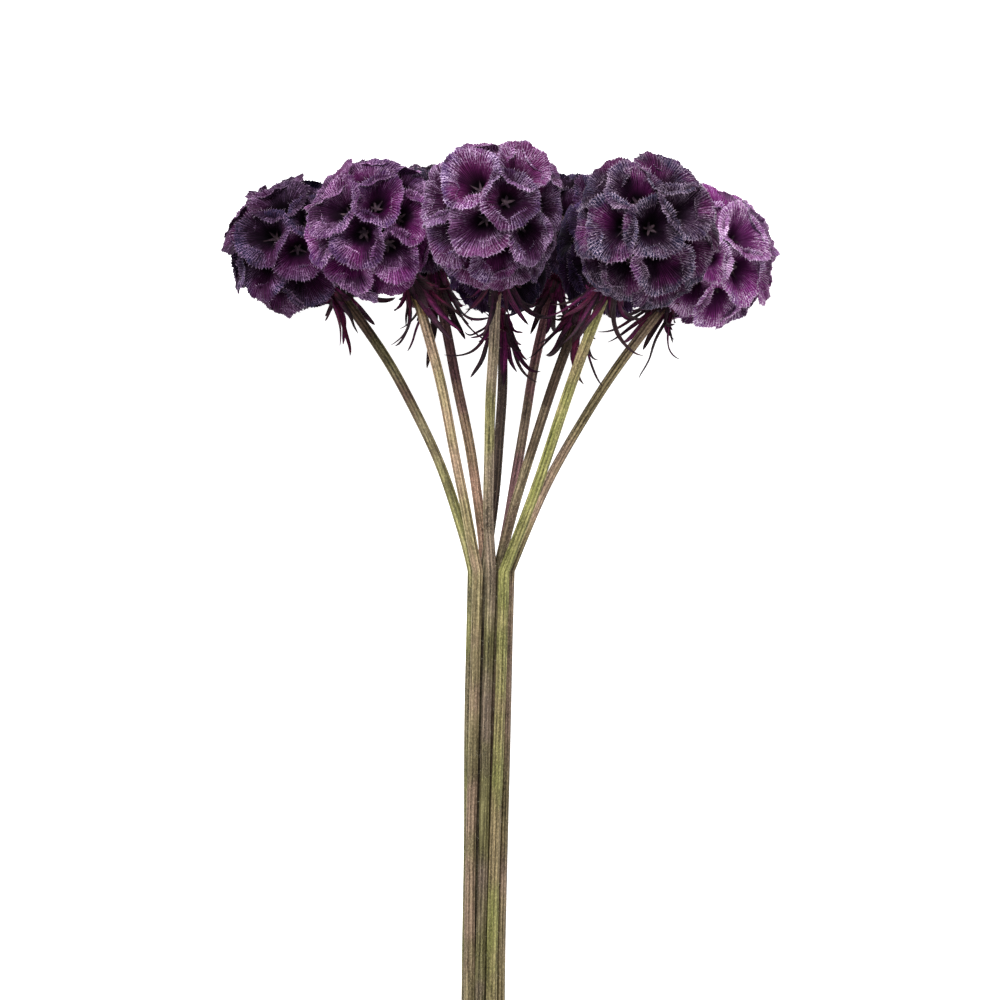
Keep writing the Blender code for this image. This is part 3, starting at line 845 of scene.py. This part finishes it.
def star_template():
    """A calyx: a small stalk whose five sides are drawn out into rising arms with thin awns."""
    star = bmesh.new()
    stalk_radius, stalk_height = STAR_STALK
    bmesh.ops.create_cone(star, cap_ends=True, segments=5, radius1=stalk_radius, radius2=stalk_radius,
                          depth=stalk_height)
    star.normal_update()
    for face in [face for face in star.faces if abs(face.normal.z) < 0.5]:
        out = face.normal.copy()
        across = Vector((0, 0, 1)).cross(out)
        sections = []
        reach, height = stalk_radius, 0.0
        for next_reach, width, next_height in STAR_ARM:
            rise = Vector((0, 0, next_height - height)) + out * (next_reach - reach)
            up = rise.normalized().cross(across)
            reach, height = next_reach, next_height
            thin = min(STAR_THICKNESS, width) / 2
            sections.append((out * reach + Vector((0, 0, height)), across, up, width / 2, thin))
        draw_out(star, face, sections)
    bmesh.ops.recalc_face_normals(star, faces=star.faces[:])
    return star


def place_copies(shape, origins, firsts, seconds, thirds):
    """Where a template's corners go in each copy: an origin and where x, y and z run from it."""
    x, y, z = (shape[None, :, axis, None] for axis in range(3))
    starts, first, second, third = (np.array(rows)[:, None, :] for rows in (origins, firsts, seconds, thirds))
    return (starts + x * first + y * second + z * third).reshape(-1, 3)


def make_stars(pod, spots, lifts, draw):
    """A calyx in each throat."""
    radius = pod.radius * MM
    template = star_template()
    data, shape = copy_out(template, len(lifts), "stars_" + pod.name)
    origins, firsts, seconds, thirds = [], [], [], []
    for spot, lift in zip(spots, lifts):
        first, second = crossways(spot, draw.uniform(0, 2 * pi))
        size = MM * draw.uniform(*STAR_SIZES)
        origins.append(np.array(spot) * radius * (STAR_LEVEL + lift))
        firsts.append(first * size)
        seconds.append(second * size)
        thirds.append(np.array(spot) * size)
    points = on_head(pod, place_copies(shape, origins, firsts, seconds, thirds))
    settle(data, points, STAR_FINISH, "pod", sharp=40)


def make_core(pod):
    """The middle of a head, which the cups stand on, with its neck down to the collar; it is near-black as
    painted shade seen between the cups.
    """
    core = bmesh.new()
    bmesh.ops.create_icosphere(core, subdivisions=CORE_DETAIL, radius=pod.radius * MM * CORE_LEVEL)
    for vert in core.verts:
        below = Vector((0, 0, -1)).angle(vert.co)
        if below < CORE_NECK:
            across = below / CORE_NECK
            vert.co = Vector((vert.co.x, vert.co.y, 0)).normalized() * across * NECK_RADIUS
            vert.co.z = -COLLAR_TOP - NECK_SINK
    data, shape = copy_out(core, 1, "core_" + pod.name)
    settle(data, on_head(pod, shape), CORE_SHADE_FINISH, "pod")


def leaf_template():
    """A flat closed blade: across is x from -0.5 to 0.5, along is y from 0 to 1, and its two sides are z."""
    leaf = bmesh.new()
    bmesh.ops.create_grid(leaf, x_segments=LEAF_ACROSS, y_segments=LEAF_ALONG, size=0.5)
    bmesh.ops.solidify(leaf, geom=leaf.faces[:], thickness=0.1)
    middle = sum(vert.co.z for vert in leaf.verts) / len(leaf.verts)
    for vert in leaf.verts:
        vert.co.y += 0.5
        vert.co.z = 0.5 if vert.co.z > middle else -0.5
    bmesh.ops.recalc_face_normals(leaf, faces=leaf.faces[:])
    return leaf


def leaf_points(pod, shape, leaf, draw):
    """One bract: it leaves the collar downwards, bends out, narrows to a tip, and folds at its midrib."""
    angle, flare, length = leaf
    across, along, side = shape.T
    out = pod_turn(pod) @ Vector((cos(angle), sin(angle), 0))
    down = -pod_axis(pod)
    start = np.array(pod_centre(pod) + down * BRACT_START + out * BRACT_START_RADIUS)
    sideways = np.array(out.cross(down))
    out, down = np.array(out), np.array(down)
    hook = draw.uniform(*LEAF_HOOK_SHARES) * LEAF_HOOK
    steps = np.linspace(0, 1, LEAF_STEPS)
    bends = flare * (steps + 0.5 / BRACT_SECTIONS) + hook * steps ** 3
    bend = np.interp(along, steps, bends)
    fall = np.interp(along, steps, np.concatenate(([0], np.cos(bends[1:]).cumsum()))) * length / LEAF_STEPS
    reach = np.interp(along, steps, np.concatenate(([0], np.sin(bends[1:]).cumsum()))) * length / LEAF_STEPS
    facing = np.outer(np.cos(bend), out) - np.outer(np.sin(bend), down)
    width = np.interp(along, LEAF_STATIONS, LEAF_WIDTHS) * MM * draw.uniform(*LEAF_WIDTH_SPREAD)
    twist = radians(draw.uniform(-LEAF_TURN, LEAF_TURN)) * along ** 1.5
    sway = draw.uniform(-LEAF_SWAY, LEAF_SWAY) * length * along ** 2
    wave = LEAF_RIPPLE * np.sin(along * draw.uniform(*LEAF_RIPPLES) + draw.uniform(0, 6)) * along
    fold = -np.abs(across) * width * LEAF_FOLD
    thick = side * LEAF_THICKNESS * (1 - LEAF_THINNING * along)
    turned = np.cos(twist)[:, None] * sideways + np.sin(twist)[:, None] * facing
    square = np.cos(twist)[:, None] * facing - np.sin(twist)[:, None] * sideways
    points = start + np.outer(fall, down) + np.outer(reach, out) + np.outer(sway, sideways)
    return points + turned * (across * width)[:, None] + square * (fold + thick + wave)[:, None]


def short_leaves(leaves, draw):
    """The inner rows: short bracts between and beside those of the outer row."""
    return [(angle + turn * pi / BRACT_COUNT, flare * draw.uniform(*SHORT_FLARES),
             length * draw.uniform(*share))
            for angle, flare, length in leaves for turn, share in SHORT_ROWS]


def make_leaves(pod, leaves, draw):
    """The bracts of one head and the collar that they grow from."""
    leaves = leaves + short_leaves(leaves, draw)
    data, shape = copy_out(leaf_template(), len(leaves), "bracts_dry_" + pod.name)
    points, grain, rib = [], [], []
    for leaf in leaves:
        points.append(leaf_points(pod, shape, leaf, draw))
        seed = draw.uniform(0, 1)
        grain.append(np.column_stack((shape[:, 0] * LEAF_GRAIN + seed, np.full(len(shape), seed),
                                      shape[:, 1] * leaf[2] * 0.9 + draw.uniform(*LEAF_GRAIN_STARTS))))
        # Painted shade across a blade: lighter at the midrib, darker towards the edges, shifted at random for
        # each blade
        rib.append(1.5 - 4 * np.abs(shape[:, 0]) + draw.uniform(*LEAF_SHADES))
    points = np.concatenate(points)
    points[:, 2] = np.maximum(points[:, 2], LEAF_REST)
    settle(data, points, BRACT_LEAF, "bract", sharp=50, replaced="bracts_" + pod.name,
           grain=np.concatenate(grain), rib=np.concatenate(rib))
    collar = bmesh.new()
    bmesh.ops.create_cone(collar, cap_ends=True, segments=COLLAR_CORNERS, radius1=COLLAR_FOOT,
                          radius2=COLLAR_LIP, depth=COLLAR_DEPTH)
    rims = [edge for edge in collar.edges if edge.verts[0].co.z * edge.verts[1].co.z > 0]
    bmesh.ops.bevel(collar, geom=rims, offset=COLLAR_ROUNDING, segments=3, profile=0.5, affect="EDGES",
                    material=-1)
    data, shape = copy_out(collar, 1, "collar_" + pod.name)
    shape = shape - np.array((0, 0, COLLAR_TOP - NECK_SINK + COLLAR_DEPTH / 2))
    points = shape @ np.array(pod_turn(pod)).T + np.array(pod_centre(pod))
    settle(data, points, BRACT_LEAF, "bract", sharp=50, grain=shape, rib=np.zeros(len(points)))


def stem_line(pod, draw):
    """Close points along a stem's wavy middle, from its cut end to the collar, and its ways across."""
    steps = np.linspace(CUT_END, 0, STEM_BUNDLE_STEPS, endpoint=False)
    middle = np.array([bundle_point(pod, v) for v in steps] + fan_points(pod, STEM_FAN_STEPS))
    share_along = np.linspace(0, 1, len(middle))
    inside = np.sin(np.linspace(0, pi, len(middle))) ** 0.5
    for axis in (0, 2):
        waves = [draw.uniform(*count) for _, count in STEM_BENDS]
        bends = [np.sin(2 * pi * wave * share_along + draw.uniform(0, 6)) for wave in waves]
        wander = sum(share * bend for (share, _), bend in zip(STEM_BENDS, bends))
        middle[:, axis] += STEM_WANDER * inside * wander
    ahead = np.gradient(middle, axis=0)
    ahead /= np.linalg.norm(ahead, axis=1)[:, None]
    right = np.cross(ahead, (0, 0, 1))
    right /= np.linalg.norm(right, axis=1)[:, None]
    return middle, ahead, right, np.cross(right, ahead)


def stem_template():
    """A straight rod along z with a ring of corners at every station and a sunk end at each cut."""
    rod = bmesh.new()
    stations = STEM_BUNDLE_STEPS + STEM_FAN_STEPS
    bmesh.ops.create_cone(rod, cap_ends=True, segments=STEM_CORNERS, radius1=1, radius2=1, depth=stations)
    uprights = [edge for edge in rod.edges if abs(edge.verts[0].co.z - edge.verts[1].co.z) > 1]
    bmesh.ops.subdivide_edges(rod, edges=uprights, cuts=stations - 1)
    ends = [face for face in rod.faces if len(face.verts) == STEM_CORNERS]
    for inset in STEM_INSETS:
        bmesh.ops.inset_individual(rod, faces=ends, thickness=inset)
    bmesh.ops.translate(rod, verts=rod.verts, vec=(0, 0, stations / 2))
    bmesh.ops.recalc_face_normals(rod, faces=rod.faces[:])
    return rod


def make_stem(pod, draw):
    """A ribbed dry stem, cut off square and slightly sunk at its end."""
    middle, ahead, right, up = stem_line(pod, draw)
    data, shape = copy_out(stem_template(), 1, "stalk_" + pod.name)
    station = np.clip(np.round(shape[:, 2]).astype(int), 0, len(middle) - 1)
    share = np.hypot(shape[:, 0], shape[:, 1])
    turn = np.arctan2(shape[:, 1], shape[:, 0])
    along = np.linalg.norm(np.diff(middle, axis=0), axis=1).cumsum()
    along = np.concatenate(([0], along)) - along[-1]
    spiral = draw.uniform(0, 2 * pi) + along[station] * draw.uniform(*STEM_TWIST)
    swell = 1 + STEM_TAPER * along / along[0] + STEM_SWELL * np.sin(along * STEM_SWELLS + draw.uniform(0, 6))
    rib = STEM_RIB * np.cos(STEM_RIBS * turn + spiral)
    rib += STEM_RIB / 2 * np.cos(STEM_FINE_RIBS * turn - 3 * spiral)
    reach = STEM_RADIUS * draw.uniform(*STEM_SHARES) * share * swell[station]
    reach = reach * (1 + np.where(share > 0.99, rib, 0))
    sunk = np.where(share < 0.8, STEM_SUNK, 0) * np.where(station == 0, 1, -1)
    points = middle[station] + right[station] * (reach * np.cos(turn))[:, None]
    points += up[station] * (reach * np.sin(turn))[:, None] + ahead[station] * sunk[:, None]
    points[:, 2] = np.maximum(points[:, 2], 0)
    seed = draw.random()
    grain = np.column_stack((reach * np.cos(turn) + seed, reach * np.sin(turn),
                             along[station] + STEM_TOP_REACH))
    settle(data, points, STEM_SKINS[pod.skin], "stem", sharp=50, replaced="stem_" + pod.name, grain=grain,
           rib=rib / STEM_RIB)
    make_hairs(pod, middle, ahead, right, up, draw)


def make_hairs(pod, middle, ahead, right, up, draw):
    """The fine hairs that stand off a stem."""
    hair = bmesh.new()
    bmesh.ops.create_cone(hair, cap_ends=True, segments=3, radius1=1, radius2=0.15, depth=1)
    data, shape = copy_out(hair, STEM_HAIRS, "hairs_" + pod.name)
    origins, firsts, seconds, thirds = [], [], [], []
    for _ in range(STEM_HAIRS):
        place = draw.randrange(2, len(middle) - 2)
        angle = draw.uniform(0, 2 * pi)
        out = right[place] * cos(angle) + up[place] * sin(angle)
        origin = middle[place] + ahead[place] * draw.uniform(*HAIR_STRAYS) * MM
        thirds.append((out + ahead[place] * draw.uniform(*HAIR_LEANS)) * draw.uniform(*HAIR_LENGTHS) * MM)
        firsts.append(right[place] * HAIR_RADIUS)
        seconds.append(ahead[place] * HAIR_RADIUS)
        origins.append(origin + out * STEM_RADIUS * HAIR_ROOT + thirds[-1] / 2)
    points = place_copies(shape, origins, firsts, seconds, thirds)
    points[:, 2] = np.maximum(points[:, 2], 0)
    settle(data, points, HAIR_FINISH, "stem", sharp=80)


def make_band():
    """The rubber band, wound round the bundle in strands that lie side by side."""
    ring = bmesh.new()
    bmesh.ops.create_circle(ring, segments=STRAND_CORNERS, radius=0.5)
    bmesh.ops.translate(ring, verts=ring.verts, vec=(RING_RADIUS, 0, 0))
    bmesh.ops.rotate(ring, verts=ring.verts, cent=(RING_RADIUS, 0, 0),
                     matrix=Matrix.Rotation(pi / 2, 3, "X"))
    bmesh.ops.spin(ring, geom=ring.verts[:] + ring.edges[:], cent=(0, 0, 0), axis=(0, 0, 1),
                   angle=2 * pi, steps=BAND_STEPS, use_merge=True)
    bmesh.ops.remove_doubles(ring, verts=ring.verts[:], dist=1e-4)
    bmesh.ops.recalc_face_normals(ring, faces=ring.faces[:])
    data, shape = copy_out(ring, BAND_STRANDS, "rubber_band")
    turn = np.arctan2(shape[:, 1], shape[:, 0])
    outward, sideways = np.hypot(shape[:, 0], shape[:, 1]) - RING_RADIUS, shape[:, 2]
    points = []
    for strand in range(BAND_STRANDS):
        place = (strand + 0.5) / BAND_STRANDS - 0.5
        drift = STRAND_DRIFT * np.sin(turn + strand * STRAND_TURN) * MM
        v = TIE_PLACE + place * (TIE_WIDTH - STRAND_WIDTH) * BAND_STRANDS / (BAND_STRANDS - 1) + drift
        middles = np.array([[bundle_point(pod, spot) for pod in PODS] for spot in v])
        way = np.column_stack((np.cos(turn), np.zeros(len(turn)), np.sin(turn)))
        far = np.einsum("ijk,ik->ij", middles, way).argmax(axis=1)
        support = middles[np.arange(len(turn)), far]
        push = STEM_RADIUS + GAP / 2 + STRAND_THICKNESS * (outward + 0.5)
        support[:, 1] = v + sideways * STRAND_WIDTH
        points.append(support + way * push[:, None])
    settle(data, np.concatenate(points), BAND_FINISH, "band", replaced="tie")


lines = [stem_points(pod) for pod in PODS]
taken = []
for number, pod in enumerate(PODS):
    frame_draw = Random(100 + number)
    spots = cup_directions(pod, frame_draw)
    lifts = [frame_draw.uniform(-LIFT, LIFT) for _ in spots[:-1]]
    draw = Random(500 + number)
    make_cups(pod, spots, lifts, draw)
    make_stars(pod, spots, lifts, draw)
    make_core(pod)
    make_leaves(pod, choose_bracts(pod, Random(300 + number), lines, taken), draw)
    make_stem(pod, draw)
make_band()

# The stage: a pale floor, a bright even sky, two wide soft lights, and a long lens straight above
floor_mesh = bmesh.new()
bmesh.ops.create_grid(floor_mesh, x_segments=1, y_segments=1, size=FLOOR_SIZE)
floor_data = bpy.data.meshes.new("floor")
floor_mesh.to_mesh(floor_data)
floor_finish, _, sockets = new_material("floor", 0.9)
sockets["Base Color"].default_value = FLOOR_PAINT
sockets["Emission Color"].default_value = WHITE
sockets["Emission Strength"].default_value = FLOOR_GLOW
floor_data.materials.append(floor_finish)
floor = bpy.data.objects.new("floor", floor_data)
bpy.context.scene.collection.objects.link(floor)

sky = bpy.data.worlds.new("sky")
sky.use_nodes = True
sky_light = sky.node_tree.nodes["Background"].inputs
sky_light["Color"].default_value = WHITE
sky_light["Strength"].default_value = SKY_STRENGTH
bpy.context.scene.world = sky
for name, place, size, power in LIGHTS:
    lamp = bpy.data.lights.new(name, "AREA")
    lamp.size = size
    lamp.energy = power
    light = bpy.data.objects.new(name, lamp)
    light.location = place
    light.rotation_euler = (Vector(LIGHT_AIM) - Vector(place)).to_track_quat("-Z", "Y").to_euler()
    bpy.context.scene.collection.objects.link(light)

camera_data = bpy.data.cameras.new("camera")
camera_data.lens = CAMERA_LENS
camera_data.sensor_width = CAMERA_SENSOR
camera = bpy.data.objects.new("camera", camera_data)
camera.location = SHIFT + Vector(CAMERA_PLACE)
bpy.context.scene.collection.objects.link(camera)
bpy.context.scene.camera = camera
bpy.context.scene.view_settings.view_transform = "Standard"
